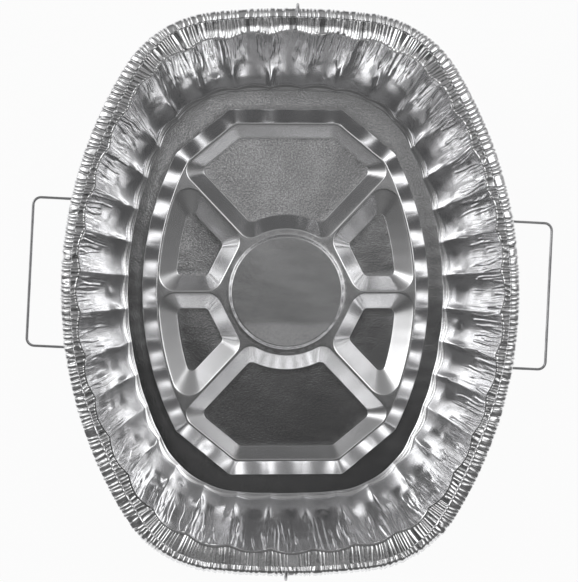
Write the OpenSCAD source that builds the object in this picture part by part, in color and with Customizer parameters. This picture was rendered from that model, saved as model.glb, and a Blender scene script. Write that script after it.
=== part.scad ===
// Oval foil roasting pan carried in a cradle of bent wire.
// Origin: on the surface the pan stands on, under the middle of the pan.
// +Z is up, +Y runs along the length of the pan and +X across it.

/* [Foil pan] */
// Length of the pan over its rolled rim
pan_length = 457; // [420:1:500]
// Width of the pan over its rolled rim
pan_width = 370; // [350:1:410]
// Height of the rim above the pan's floor
pan_depth = 84; // [60:1:110]
// Length of the oval line where the wall meets the flange
mouth_length = 412; // [380:1:420]
// Width of the oval line where the wall meets the flange
mouth_width = 338; // [310:1:345]
// Length of the flat floor
floor_length = 345; // [320:1:370]
// Width of the flat floor
floor_width = 271; // [250:1:290]
// Thickness of the foil
foil = 0.15; // [0.1:0.05:0.4]

/* [Oval radii] */
// Radius of the long sides of the rim
rim_side_radius = 345; // [300:5:420]
// Radius of the two ends of the rim
rim_end_radius = 575; // [450:5:700]
// Radius of the four corners of the rim
rim_corner_radius = 95; // [80:1:110]
// Radius of the long sides of the mouth
mouth_side_radius = 294; // [270:2:340]
// Radius of the two ends of the mouth
mouth_end_radius = 312; // [290:2:400]
// Radius of the four corners of the mouth
mouth_corner_radius = 95; // [80:1:110]
// Radius of the long sides of the floor
floor_side_radius = 287; // [250:1:340]
// Radius of the two ends of the floor
floor_end_radius = 525; // [400:5:650]
// Radius of the four corners of the floor
floor_corner_radius = 79; // [65:1:95]

/* [Wall flutes and rim] */
// Number of flutes round the wall, a multiple of 4
flute_count = 36; // [28:4:44]
// Depth of a flute at the floor
flute_foot = 2.2; // [1:0.1:3.5]
// Depth of a flute at the wall's belly
flute_belly = 4.2; // [2:0.1:6]
// Depth of a flute at the mouth
flute_mouth = 3.4; // [1:0.1:5]
// Height of the little step from the mouth up to the flange
step_height = 1.2; // [0.5:0.1:2.5]
// Depth of the gathers pressed into the flange and the rim
gather_depth = 0.7; // [0.2:0.1:1.2]
// Radius of the rolled rim
curl_radius = 3; // [2:0.1:4]

/* [Pressed floor] */
// Height of the ribs above the floor
rib_height = 9; // [5:0.5:14]
// Width of a rib's flat crest
rib_crest = 1.6; // [1:0.1:3]
// Width of the gutter between the wall and the rib ring at the long sides
side_gutter = 14.2; // [8:0.2:20]
// Width of the gutter between the wall and the rib ring at the ends
end_gutter = 18; // [10:0.5:26]
// Width of the rib ring's outer slope
ring_outer_slope = 12.5; // [8:0.5:16]
// Width of the rib ring's slope into an end panel
ring_end_slope = 11.2; // [8:0.2:15]
// Width of the rib ring's slope into a side panel
ring_side_slope = 15.4; // [10:0.2:18]
// Length of the straight crest at each end of the rib ring
end_crest = 87; // [70:1:100]
// How far a slanting crest of the ring reaches sideways
corner_reach = 39.3; // [30:0.1:46]
// How far a slanting crest of the ring drops back
corner_drop = 32.3; // [24:0.1:40]
// Angle of a slanting spoke from the long side to the end
spoke_angle = 46.7; // [42:0.1:50]
// How far a slanting spoke's crest line passes from the middle
spoke_offset = 4.9; // [2:0.1:8]
// Width of a spoke's slope into an end panel
spoke_end_slope = 13; // [9:0.5:16]
// Width of a spoke's slope into a side panel
spoke_side_slope = 15.6; // [10:0.2:18]
// Width of a level spoke's slope
level_spoke_slope = 13.6; // [9:0.2:17]
// Radius of the hub's flat top
hub_radius = 52.8; // [46:0.2:56]
// Width of the hub's slope
hub_slope = 13; // [9:0.5:16]
// Width of the hub's flat ring round the pad
hub_ring = 2.9; // [1:0.1:6]
// Height of the pad above the hub
pad_height = 2; // [1:0.5:4]
// Width of the pad's slope
pad_slope = 3.5; // [2:0.5:5]
// Radius of the corners at the bottom of a panel
panel_corner = 5; // [2:0.5:7]
// Radius of the corners at the top of a panel
crest_corner = 8; // [4:0.5:11]

/* [Wire cradle] */
// Diameter of the wire
wire = 2.2; // [1.6:0.1:3]
// Distance over the two handles, across the pan
handle_span = 422; // [415:1:460]
// Width of a handle along the pan, between the middles of its arms
handle_width = 119; // [90:1:140]
// Inside radius of the handle's corners
grip_bend = 5; // [3:0.5:8]
// Inside radius of the bends that follow the pan
cradle_bend = 7; // [5:0.5:9]
// How far the two wires sink into each other at a weld
weld_depth = 0.4; // [0.2:0.1:0.8]
// Gap left all round a weld's seat
weld_gap = 0.02; // [0.01:0.01:0.05]
// Gap between a wire and the foil that it carries
seat_gap = 0.1; // [0.05:0.05:0.3]
// Gap between a wire's leg and the wall that it passes
wall_gap = 1; // [0.5:0.1:2]
// Gap between a hook and the rolled rim inside it
hook_gap = 2; // [1:0.1:3]
// Length of the hook's tip past the middle of the roll
hook_tip = 2; // [1:0.5:6]
// How far the handles sit turned under the pan
handle_turn = -2.8; // [-4:0.2:4]
// How far the hooks sit turned under the pan
hook_turn = -1.2; // [-2:0.2:2]
// How far the handles sit towards one end
handle_shift = 6.5; // [-10:0.5:10]

/* [Hidden] */

steps_per_flute = 6;
columns = flute_count * steps_per_flute;
quarter = columns / 4;

// Heights, from the surface that the cradle stands on.
handle_wire_z = wire / 2;
hook_wire_z = handle_wire_z + wire - weld_depth;
floor_under_z = hook_wire_z + wire / 2 + seat_gap;
floor_z = floor_under_z + foil;
rim_z = floor_z + pan_depth;
mouth_z = rim_z - step_height;
curl_z = rim_z - curl_radius;
arm_z = curl_z - curl_radius - gather_depth / 2 - seat_gap - wire / 2;
hook_arm_z = curl_z - curl_radius - hook_gap - wire / 2;

// An oval is [half width, half length, side radius, end radius, corner radius].
rim_oval = [pan_width / 2, pan_length / 2, rim_side_radius, rim_end_radius, rim_corner_radius];
mouth_oval =
    [mouth_width / 2, mouth_length / 2, mouth_side_radius, mouth_end_radius, mouth_corner_radius];
floor_oval =
    [floor_width / 2, floor_length / 2, floor_side_radius, floor_end_radius, floor_corner_radius];

function side_centre(o) = [o[0] - o[2], 0];
function end_centre(o) = [0, o[1] - o[3]];

// The corner arc's centre, from where it touches the side arc and the end arc.
function corner_centre(o) =
    let (
        from = side_centre(o),
        to = end_centre(o),
        reach = o[2] - o[4],
        other = o[3] - o[4],
        gap = norm(to - from),
        along = (reach * reach - other * other + gap * gap) / (2 * gap),
        across = sqrt(reach * reach - along * along),
        unit = (to - from) / gap
    )
    from + along * unit + across * [-unit[1], unit[0]];

function heading(v) = atan2(v[1], v[0]);
function facing(angle) = [cos(angle), sin(angle)];

// The three arcs of a quarter oval, each as [centre, radius, first angle, last angle].
function quarter_arcs(o) =
    let (
        corner = corner_centre(o),
        side_end = heading(corner - side_centre(o)),
        corner_end = heading(corner - end_centre(o))
    )
    [
        [side_centre(o), o[2], 0, side_end],
        [corner, o[4], side_end, corner_end],
        [end_centre(o), o[3], corner_end, 90]
    ];

function arc_length(a) = a[1] * (a[3] - a[2]) * PI / 180;

// A place on a run of arcs at a distance along it, as [point, direction that it faces].
function along_arcs(arcs, distance, i = 0) =
    let (a = arcs[i], length = arc_length(a))
    distance <= length || i == len(arcs) - 1
        ? let (angle = a[2] + (a[3] - a[2]) * distance / length)
            [a[0] + a[1] * facing(angle), facing(angle)]
        : along_arcs(arcs, distance - length, i + 1);

function mirrored(place, sign) =
    [[place[0][0] * sign[0], place[0][1] * sign[1]], [place[1][0] * sign[0], place[1][1] * sign[1]]];

// The places of all columns on an oval, evenly spaced along each quarter.
function oval_places(o) =
    let (
        arcs = quarter_arcs(o),
        length = arc_length(arcs[0]) + arc_length(arcs[1]) + arc_length(arcs[2]),
        first = [for (j = [0:quarter]) along_arcs(arcs, length * j / quarter)]
    )
    [
        for (j = [0:columns - 1])
            let (turn = floor(j / quarter), step = j % quarter)
            turn == 0 ? first[step]
            : turn == 1 ? mirrored(first[quarter - step], [-1, 1])
            : turn == 2 ? mirrored(first[step], [-1, -1])
            : mirrored(first[quarter - step], [1, -1])
    ];

rim_places = oval_places(rim_oval);
mouth_places = oval_places(mouth_oval);
floor_places = oval_places(floor_oval);

// 1 in the middle of a flute and 0 on the ridge between two flutes.
function flute_at(j) = abs(cos(180 * j / steps_per_flute));

// 1 on one gather and -1 on the next.
function gather_at(j) = 1 - 2 * (j % 2);

// One ring of the sheet: each column's place between two ovals, pushed out by flute and gather.
function ring(from, to, share, inset, z, flute, ripple, lift) = [
    for (j = [0:columns - 1])
        let (
            at = from[j][0] * (1 - share) + to[j][0] * share,
            out = to[j][1] * (flute * flute_at(j) + ripple * gather_at(j) - inset)
        )
        [at[0] + out[0], at[1] + out[1], z + lift * gather_at(j)]
];

// The wall and rim in section, from the floor out to the tip of the roll. Each row is
// [from, to, share, inset, height, flute depth, ripple, lift, way to the underside].
foot_round = 4;
foot_share = 0.05;
belly_share = 0.42;
belly_rise = 0.36;
step_share = 0.12;
curl_turn = 205;
curl_steps = 4;

function wall_row(share, z, flute, way) = [floor_places, mouth_places, share, 0, z, flute, 0, 0, way];

function curl_row(angle) =
    let (inset = curl_radius * (1 - cos(angle)), z = curl_z + curl_radius * sin(angle))
    [mouth_places, rim_places, 1, inset, z, 0,
        gather_depth / 2 * cos(angle), gather_depth / 2 * sin(angle), angle - 180];

section = [
    wall_row(0, floor_z, flute_foot, 270),
    wall_row(foot_share, floor_z + foot_round, flute_foot, 350),
    wall_row(belly_share, floor_z + belly_rise * pan_depth, flute_belly, 335),
    wall_row(1, mouth_z, flute_mouth, 315),
    [mouth_places, rim_places, step_share, 0, rim_z, flute_mouth / 2, 0, gather_depth / 4, 280],
    for (i = [0:curl_steps]) curl_row(90 - curl_turn * i / curl_steps)
];

// A ring of the section on the sheet's inside face (depth 0) or its underside (depth foil).
function section_ring(row, depth) =
    ring(row[0], row[1], row[2], row[3] - depth * cos(row[8]), row[4] + depth * sin(row[8]),
        row[5], row[6], row[7]);

// The fluted wall, the gathered flange and the rolled rim on a plain flat floor, one sheet.
module plain_pan() {
    rows = len(section);
    inside = [for (row = section) each section_ring(row, 0)];
    underside = [for (row = section) each section_ring(row, foil)];
    under = rows * columns;
    tip = (rows - 1) * columns;
    polyhedron(
        points = concat(inside, underside),
        faces = [
            [for (j = [0:columns - 1]) columns - 1 - j],
            [for (j = [0:columns - 1]) under + j],
            for (i = [0:rows - 2], j = [0:columns - 1])
                let (a = i * columns + j, b = i * columns + (j + 1) % columns)
                each [
                    [a, b, b + columns],
                    [a, b + columns, a + columns],
                    [under + a, under + b + columns, under + b],
                    [under + a, under + a + columns, under + b + columns]
                ],
            for (j = [0:columns - 1])
                let (a = tip + j, b = tip + (j + 1) % columns)
                each [[a, b, under + b], [a, under + b, under + a]]
        ]
    );
}

// The crest line of the rib ring: two straight ends, four slanting corners, two curved sides.
crest_half_width = floor_width / 2 - side_gutter - ring_outer_slope;
crest_half_length = floor_length / 2 - end_gutter - ring_outer_slope;
crest_corner_point = [end_crest / 2 + corner_reach, crest_half_length - corner_drop];
side_steps = 4;

// The curved side's radius, from its middle and its two ends.
side_rise = crest_half_width - crest_corner_point[0];
crest_side_radius =
    (side_rise * side_rise + crest_corner_point[1] * crest_corner_point[1]) / (2 * side_rise);
side_half_angle = asin(crest_corner_point[1] / crest_side_radius);

crest_points = [
    for (sign = [1, -1]) each [
        for (i = [-side_steps:side_steps])
            sign * ([crest_half_width - crest_side_radius, 0]
                + crest_side_radius * facing(side_half_angle * i / side_steps)),
        sign * [end_crest / 2, crest_half_length],
        sign * [-end_crest / 2, crest_half_length]
    ]
];

// The outward normal of an outline's edge. Outlines run anticlockwise and are convex.
function edge_normal(a, b) = let (along = (b - a) / norm(b - a)) [along[1], -along[0]];

// An outline with every edge moved outwards.
function grown(points, distance) = [
    for (i = [0:len(points) - 1])
        let (
            count = len(points),
            before = edge_normal(points[(i + count - 1) % count], points[i]),
            after = edge_normal(points[i], points[(i + 1) % count])
        )
        points[i] + distance * (before + after) / (1 + before * after)
];

// An outline cut back to where a point lies no further than a limit in the direction away.
function clipped(points, away, limit) = [
    for (i = [0:len(points) - 1])
        let (
            p = points[i],
            q = points[(i + 1) % len(points)],
            here = p * away - limit,
            next = q * away - limit
        )
        each [if (here <= 0) p, if (here * next < 0) p + (q - p) * here / (here - next)]
];

// An outline with its sharp corners rounded.
sharp_turn = 20;
corner_steps = 3;
function rounded(points, radius) = [
    for (i = [0:len(points) - 1])
        let (
            count = len(points),
            before = edge_normal(points[(i + count - 1) % count], points[i]),
            after = edge_normal(points[i], points[(i + 1) % count]),
            turn = acos(before * after),
            centre = points[i] - radius * (before + after) / (1 + before * after)
        )
        each turn < sharp_turn ? [points[i]]
        : [for (k = [0:corner_steps]) centre + radius * facing(heading(before) + turn * k / corner_steps)]
];

// An end panel's outline: inside the rib ring and beyond both slanting spokes.
function end_panel(ring_side, spoke_side, corner) =
    let (
        limit = -spoke_offset - rib_crest / 2 - spoke_side,
        inside = grown(crest_points, -rib_crest / 2 - ring_side),
        beyond = clipped(inside, facing(spoke_angle - 90), limit)
    )
    rounded(clipped(beyond, facing(270 - spoke_angle), limit), corner);

// A side panel's outline: between a slanting spoke, a level spoke, the hub and the rib ring.
hub_side_angle = 27;
function side_panel(ring_side, slant, level, hub, corner) =
    let (
        inside = grown(crest_points, -rib_crest / 2 - ring_side),
        above = clipped(inside, [0, -1], -rib_crest / 2 - level),
        below = clipped(above, facing(spoke_angle + 90), spoke_offset - rib_crest / 2 - slant)
    )
    rounded(clipped(below, -facing(hub_side_angle), -hub_radius - hub), corner);

// A pocket with sloping sides, from its outline at the floor out to its outline at the crest.
// The ribs' solid is sunk a hair into the sheet, so the floor's plane is at that height.
sunk = 0.01;
module pocket() {
    hull() {
        translate([0, 0, sunk]) linear_extrude(sunk) children(0);
        translate([0, 0, rib_height]) linear_extrude(sunk) children(1);
    }
}

module end_pocket() {
    pocket() {
        polygon(end_panel(ring_end_slope, spoke_end_slope, panel_corner));
        polygon(end_panel(0, 0, crest_corner));
    }
}

module side_pocket() {
    pocket() {
        polygon(side_panel(ring_side_slope, spoke_side_slope, level_spoke_slope, hub_slope, panel_corner));
        polygon(side_panel(0, 0, 0, 0, crest_corner));
    }
}

// The ribs as a solid that stands on the plane z = 0: a ring, six spokes, the hub and its pad.
hub_facets = 48;
pad_foot = hub_radius - hub_ring;
module ribs() {
    difference() {
        hull() {
            linear_extrude(sunk) polygon(grown(crest_points, ring_outer_slope + rib_crest / 2));
            linear_extrude(rib_height) polygon(grown(crest_points, rib_crest / 2));
        }
        for (flip = [0, 1]) mirror([0, flip, 0]) {
            end_pocket();
            for (side = [0, 1]) mirror([side, 0, 0]) side_pocket();
        }
    }
    cylinder(h = rib_height, r1 = hub_radius + hub_slope, r2 = hub_radius, $fn = hub_facets);
    translate([0, 0, rib_height])
        cylinder(h = pad_height, r1 = pad_foot, r2 = pad_foot - pad_slope, $fn = hub_facets);
}

// The pan is pressed from one sheet: the ribs rise from its floor and are hollow beneath.
module foil_pan() {
    color("silver") difference() {
        union() {
            plain_pan();
            translate([0, 0, floor_z - sunk]) ribs();
        }
        translate([0, 0, floor_under_z - sunk]) ribs();
    }
}

// Placements as matrices: a move along X, a turn about X, and a bend in the XY plane.
function moved(x, y = 0, z = 0) = [[1, 0, 0, x], [0, 1, 0, y], [0, 0, 1, z], [0, 0, 0, 1]];
function rolled(angle) =
    [[1, 0, 0, 0], [0, cos(angle), -sin(angle), 0], [0, sin(angle), cos(angle), 0], [0, 0, 0, 1]];
function bent(angle, radius) = [
    [cos(angle), -sin(angle), 0, radius * sin(abs(angle))],
    [sin(angle), cos(angle), 0, radius * sign(angle) * (1 - cos(angle))],
    [0, 0, 1, 0],
    [0, 0, 0, 1]
];

// The placements along a wire that is fed and bent step by step, heading along +X at first.
// Each step is [feed, plane, angle, inside radius]; plane 0 bends sideways and plane 90 upwards.
function wire_places(steps, from, i = 0) =
    i == len(steps) ? []
    : let (
        feed = steps[i][0],
        plane = steps[i][1],
        angle = steps[i][2],
        radius = steps[i][3] + wire / 2,
        start = from * moved(feed),
        count = ceil(abs(angle) / bend_step),
        into = start * rolled(plane),
        places = [
            start,
            for (k = [1:1:count]) into * bent(angle * k / count, radius) * rolled(-plane)
        ]
    )
    concat(places, wire_places(steps, places[len(places) - 1], i + 1));

// A round wire swept along its placements, with flat ends or closed into a loop.
bend_step = 15;
wire_sides = 12;
module swept_wire(places, closed = false) {
    count = len(places);
    radius = wire / 2 / cos(180 / wire_sides);
    points = [
        for (place = places, k = [0:wire_sides - 1])
            let (angle = 360 * (k + 0.5) / wire_sides, at = place * [0, radius * cos(angle), radius * sin(angle), 1])
            [at[0], at[1], at[2]]
    ];
    polyhedron(points = points, faces = [
        for (i = [0:count - (closed ? 1 : 2)], k = [0:wire_sides - 1])
            let (
                a = i * wire_sides + k,
                b = i * wire_sides + (k + 1) % wire_sides,
                c = ((i + 1) % count) * wire_sides + (k + 1) % wire_sides,
                d = ((i + 1) % count) * wire_sides + k
            )
            each [[a, c, b], [a, d, c]],
        if (!closed) [for (k = [0:wire_sides - 1]) k],
        if (!closed) [for (k = [0:wire_sides - 1]) count * wire_sides - 1 - k]
    ]);
}

// The length of straight wire that a bend takes up on each side of its corner.
function setback(angle, inside) = (inside + wire / 2) * tan(abs(angle) / 2);

// A leg leans like the wall beside it and passes the wall's belly by the wall gap.
function leg_rise(floor_half, mouth_half) =
    atan2(pan_depth, mouth_half + flute_mouth - floor_half - flute_foot);
function leg_at(floor_half, mouth_half, z) =
    let (rise = leg_rise(floor_half, mouth_half))
    floor_half + belly_share * (mouth_half - floor_half) + flute_belly
        + (wall_gap + wire / 2) / sin(rise) + (z - floor_z - belly_rise * pan_depth) / tan(rise);

// Half of the handle wire, from the middle of one run: out along it, up a leg, along an arm,
// round the grip, and back down to the middle of the other run.
function handle_half() =
    let (
        floor_half = floor_width / 2,
        mouth_half = mouth_width / 2,
        rise = leg_rise(floor_half, mouth_half),
        slack = setback(rise, cradle_bend),
        corner = setback(90, grip_bend),
        run = leg_at(floor_half, mouth_half, handle_wire_z) - slack,
        leg = (arm_z - handle_wire_z) / sin(rise) - 2 * slack,
        arm = handle_span / 2 - wire / 2 - leg_at(floor_half, mouth_half, arm_z) - slack - corner,
        grip = handle_width - 2 * corner
    )
    [
        [run, 90, rise, cradle_bend],
        [leg, 90, -rise, cradle_bend],
        [arm, 0, 90, grip_bend],
        [grip, 0, 90, grip_bend],
        [arm, 90, -rise, cradle_bend],
        [leg, 90, rise, cradle_bend],
        [run, 0, 0, 0]
    ];

module place_handles() {
    translate([0, handle_shift, 0]) rotate([0, 0, handle_turn]) children();
}

// One closed wire: two runs under the floor, four legs, and a grip on each side of the pan.
module handle_wire() {
    start = moved(0, -handle_width / 2, handle_wire_z);
    color("gainsboro") place_handles()
        swept_wire(wire_places(concat(handle_half(), handle_half()), start), closed = true);
}

// Half of the hook wire, from the middle of the pan: along the floor, up a leg, out under the
// rim and over the roll.
function hook_half() =
    let (
        floor_half = floor_length / 2,
        mouth_half = mouth_length / 2,
        rise = leg_rise(floor_half, mouth_half),
        slack = setback(rise, cradle_bend),
        arm = pan_length / 2 - curl_radius - leg_at(floor_half, mouth_half, hook_arm_z) - slack
    )
    [
        [leg_at(floor_half, mouth_half, hook_wire_z) - slack, 90, rise, cradle_bend],
        [(hook_arm_z - hook_wire_z) / sin(rise) - 2 * slack, 90, -rise, cradle_bend],
        [arm, 90, 180, curl_radius + hook_gap],
        [hook_tip, 0, 0, 0]
    ];

// The seats that the hook wire's two welds press into it.
module weld_seats() {
    radius = (wire / 2 + weld_gap) / cos(180 / wire_sides);
    place_handles() for (side = [-1, 1])
        translate([-handle_width / 2, side * handle_width / 2, handle_wire_z]) rotate([0, 90, 0])
            rotate([0, 0, 180 / wire_sides]) cylinder(h = handle_width, r = radius, $fn = wire_sides);
}

// The lengthwise wire: it lies across both runs, is welded there and hooks over both ends.
module hook_wire() {
    middle = moved(0, 0, hook_wire_z);
    color("gainsboro") difference() {
        rotate([0, 0, hook_turn + 90]) union() {
            for (end = [0, 180]) rotate([0, 0, end])
                swept_wire(concat([middle], wire_places(hook_half(), middle)));
        }
        weld_seats();
    }
}

foil_pan();
handle_wire();
hook_wire();
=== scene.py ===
"""Looks for an oval foil roasting pan that sits in a cradle of bent wire."""
import logging
import math
from dataclasses import dataclass, field
from enum import Enum
from typing import Callable, Optional, Sequence, Union

import bpy
import numpy as np
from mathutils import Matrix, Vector
from mathutils.geometry import delaunay_2d_cdt


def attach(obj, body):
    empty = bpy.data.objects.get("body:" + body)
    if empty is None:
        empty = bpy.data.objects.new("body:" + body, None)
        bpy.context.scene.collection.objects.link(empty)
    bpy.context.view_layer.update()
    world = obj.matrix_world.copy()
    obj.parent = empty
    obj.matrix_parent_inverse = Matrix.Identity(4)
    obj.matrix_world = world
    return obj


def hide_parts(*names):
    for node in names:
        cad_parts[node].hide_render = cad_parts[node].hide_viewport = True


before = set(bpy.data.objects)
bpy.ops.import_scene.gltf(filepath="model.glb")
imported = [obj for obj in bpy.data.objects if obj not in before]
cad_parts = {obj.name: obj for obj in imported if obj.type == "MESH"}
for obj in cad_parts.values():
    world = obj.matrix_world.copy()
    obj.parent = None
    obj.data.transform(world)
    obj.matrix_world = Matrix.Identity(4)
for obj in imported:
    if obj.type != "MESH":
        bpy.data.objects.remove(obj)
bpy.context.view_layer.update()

MM = 0.001
LOG = logging.getLogger("roasting_pan")

Number = Union[int, float]
Colour = tuple[float, float, float, float]
Lanes = dict[str, np.ndarray]
Random = np.random.RandomState


class Part(Enum):
    """The CAD nodes of the pan and its cradle."""

    PAN = "foil_pan"
    HANDLES = "handle_wire"
    HOOKS = "hook_wire"


class Slot(Enum):
    """The record's material slots."""

    FOIL = "foil"
    WIRE = "wire"


# Node trees


@dataclass(frozen=True)
class Signal:
    """A socket of a node tree that takes part in Python arithmetic."""

    graph: "Graph"
    socket: bpy.types.NodeSocket

    def __add__(self, other: "Value") -> "Signal":
        """The sum."""
        return self.graph.math("ADD", self, other)

    def __radd__(self, other: "Value") -> "Signal":
        """The sum, from the right."""
        return self.graph.math("ADD", other, self)

    def __sub__(self, other: "Value") -> "Signal":
        """The difference."""
        return self.graph.math("SUBTRACT", self, other)

    def __rsub__(self, other: "Value") -> "Signal":
        """The difference, from the right."""
        return self.graph.math("SUBTRACT", other, self)

    def __mul__(self, other: "Value") -> "Signal":
        """The product."""
        return self.graph.math("MULTIPLY", self, other)

    def __rmul__(self, other: "Value") -> "Signal":
        """The product, from the right."""
        return self.graph.math("MULTIPLY", other, self)

    def __truediv__(self, other: "Value") -> "Signal":
        """The quotient."""
        return self.graph.math("DIVIDE", self, other)

    def __rtruediv__(self, other: "Value") -> "Signal":
        """The quotient, from the right."""
        return self.graph.math("DIVIDE", other, self)

    def __abs__(self) -> "Signal":
        """The size without its sign."""
        return self.graph.math("ABSOLUTE", self)

    def ramp(self, low: "Value", high: "Value") -> "Signal":
        """Smoothly from 0 at low to 1 at high."""
        values = {"Value": self, "From Min": low, "From Max": high}
        settings = {"interpolation_type": "SMOOTHSTEP"}
        return self.graph.add("ShaderNodeMapRange", settings, values, "Result")

    def clamped(self) -> "Signal":
        """Held between 0 and 1."""
        values = {"Value": self, "Min": 0.0, "Max": 1.0}
        return self.graph.add("ShaderNodeClamp", {}, values, "Result")

    def at_least(self, low: float) -> "Signal":
        """Squeezed from between 0 and 1 to between low and 1."""
        return self * (1 - low) + low


Value = Union[Signal, Number, Sequence[float], bpy.types.Material, str, None]


@dataclass(frozen=True)
class Graph:
    """A shader, world or geometry node tree that is written from Python."""

    tree: bpy.types.NodeTree

    def add(
        self,
        kind: str,
        settings: Optional[dict] = None,
        values: Optional[dict] = None,
        output: Union[str, int] = 0,
    ) -> Signal:
        """Adds one node.

        Args:
            kind: The node's type.
            settings: Its own settings; "stops" are a ramp's stops and "curve" a curve's points.
            values: What goes into its sockets, by name or place.
            output: The socket that is wanted, by name or place.

        Returns:
            The wanted output.
        """
        node = self.tree.nodes.new(kind)
        for name, setting in (settings or {}).items():
            if name == "stops":
                elements = node.color_ramp.elements
                while len(elements) < len(setting):
                    elements.new(0.5)
                for element, (place, level) in zip(elements, setting):
                    element.position = place
                    element.color = (level, level, level, 1.0)
            elif name == "curve":
                points = node.mapping.curves[0].points
                while len(points) < len(setting):
                    points.new(0.5, 0.5)
                for point, place in zip(points, setting):
                    point.location = place
                node.mapping.update()
            else:
                setattr(node, name, setting)
        for name, value in (values or {}).items():
            self.feed(node.inputs[name], value)
        return Signal(self, node.outputs[output] if len(node.outputs) else node.inputs[0])

    def feed(self, socket: bpy.types.NodeSocket, value: Value) -> None:
        """Links a signal to a socket, or sets the socket to a value."""
        if isinstance(value, Signal):
            self.tree.links.new(value.socket, socket)
        else:
            socket.default_value = value

    def math(self, operation: str, first: Value, second: Value = 0.0) -> Signal:
        """One Math node on numbers."""
        return self.add("ShaderNodeMath", {"operation": operation}, {0: first, 1: second})

    def vector(self, operation: str, values: dict, output: str = "Vector") -> Signal:
        """One Vector Math node."""
        return self.add("ShaderNodeVectorMath", {"operation": operation}, values, output)

    def noise(self, at: Signal, scale: Number, detail: Number, roughness: Number) -> Signal:
        """Cloudy noise between about 0.2 and 0.8."""
        values = {"Vector": at, "Scale": scale, "Detail": detail, "Roughness": roughness}
        return self.add("ShaderNodeTexNoise", {}, values, "Fac" if self.is_shader() else 0)

    def is_shader(self) -> bool:
        """True for the tree of a material or the world."""
        return self.tree.bl_idname == "ShaderNodeTree"

    def mix(self, amount: Value, first: Value, second: Value) -> Signal:
        """A blend of two colours."""
        node = self.tree.nodes.new("ShaderNodeMix")
        node.data_type = "RGBA"
        sockets = (node.inputs[0], node.inputs[6], node.inputs[7])
        for socket, value in zip(sockets, (amount, first, second)):
            self.feed(socket, value)
        return Signal(self, node.outputs[2])

    def curve(self, at: Signal, points: Sequence[tuple[float, float]]) -> Signal:
        """What a curve through some points says of a value."""
        return self.add("ShaderNodeFloatCurve", {"curve": points}, {"Value": at})

    def coordinates(self, kind: str) -> Signal:
        """The texture coordinates of a kind."""
        return self.add("ShaderNodeTexCoord", {}, {}, kind)

    def axis(self, vector: Signal, name: str) -> Signal:
        """One of a vector's three numbers."""
        return self.add("ShaderNodeSeparateXYZ", {}, {"Vector": vector}, name)

    def metal(self, colour: Signal, roughness: Signal, bump: dict[str, Value]) -> None:
        """Ends a material as bare metal with a bump."""
        normal = self.add("ShaderNodeBump", {}, bump)
        values = {"Base Color": colour, "Metallic": 1.0, "Roughness": roughness, "Normal": normal}
        shader = self.add("ShaderNodeBsdfPrincipled", {}, values)
        self.add("ShaderNodeOutputMaterial", {}, {"Surface": shader})


def new_material(name: str) -> tuple[bpy.types.Material, Graph]:
    """An empty material and its graph."""
    material = bpy.data.materials.new(name)
    material.use_nodes = True
    material.node_tree.nodes.clear()
    return material, Graph(material.node_tree)


# Finishes


@dataclass(frozen=True)
class FoilFinish:
    """Rolled aluminium foil, with a fine grain and the creases of pressing.

    The sheets carry "lay", their points as if wrapped on a drum, with the way up the wall as
    its third number, and "calm", which is 1 where the foil was left flat and -1 where it was
    drawn smooth over the press.
    """

    name: str
    bright: Colour = (0.90, 0.90, 0.91, 1.0)
    dull: Colour = (0.68, 0.68, 0.69, 1.0)
    roughness: float = 0.20
    roughness_spread: float = 0.05
    calm_gloss: float = 0.09
    grain_scale: float = 720.0
    grain_height: float = 0.00004
    crumple_scale: float = 160.0
    crumple_height: float = 0.00004
    cloud_scale: float = 28.0
    cloud_share: float = 0.3
    contrast: tuple[float, float] = (0.38, 0.62)
    pressed_grain: float = 0.15
    pressed_wear: float = 0.4
    drawn_smooth: float = 0.8
    patch_scale: float = 45.0
    patch_rest: float = 0.2
    streak_rise: tuple[float, float] = (0.012, 0.045)
    streak_sharpness: float = 3.2
    streak_scale: float = 430.0
    streak_stretch: float = 0.07
    streak_height: float = 0.0

    def attribute(self, graph: Graph, name: str, output: str) -> Signal:
        """Reads one of the sheet's attributes."""
        return graph.add("ShaderNodeAttribute", {"attribute_name": name}, {}, output)

    def streaks(self, graph: Graph) -> Signal:
        """Fine creases that run up the wall, crisp on their crests and bunched in patches."""
        lay = self.attribute(graph, "lay", "Vector")
        long = graph.vector("MULTIPLY", {0: lay, 1: (1.0, 1.0, self.streak_stretch)})
        wave = graph.noise(long, self.streak_scale, 2.0, 0.5)
        crest = 1 - abs(wave * 2 - 1) * self.streak_sharpness
        patch = graph.noise(lay, self.patch_scale, 2.0, 0.5).ramp(*self.contrast)
        rise = graph.axis(lay, "Z").ramp(*self.streak_rise)
        return crest.clamped() * patch.at_least(self.patch_rest) * rise

    def material(self) -> bpy.types.Material:
        """Builds the material on the piece's own Object coordinates and attributes."""
        material, graph = new_material(self.name)
        at = graph.coordinates("Object")
        calm = self.attribute(graph, "calm", "Fac")
        grain = graph.noise(at, self.grain_scale, 2.0, 0.6)
        crumple = graph.noise(at, self.crumple_scale, 4.0, 0.55)
        cloud = graph.noise(at, self.cloud_scale, 3.0, 0.5)
        still = calm.clamped()
        rough = 1 - (calm * -1.0).clamped() * self.drawn_smooth
        clouded = cloud * self.cloud_share + grain * (1 - self.cloud_share)
        worn = clouded.ramp(*self.contrast) * rough
        height = grain * still.at_least(self.pressed_grain) * self.grain_height
        height = height + crumple * rough * self.crumple_height
        if self.streak_height:
            height = height + self.streaks(graph) * self.streak_height
        colour = graph.mix(worn * still.at_least(self.pressed_wear), self.bright, self.dull)
        roughness = worn * self.roughness_spread + self.roughness - still * self.calm_gloss
        bump = {"Height": height / MM, "Distance": MM, "Strength": 1.0}
        graph.metal(colour, roughness, bump)
        return material


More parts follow.
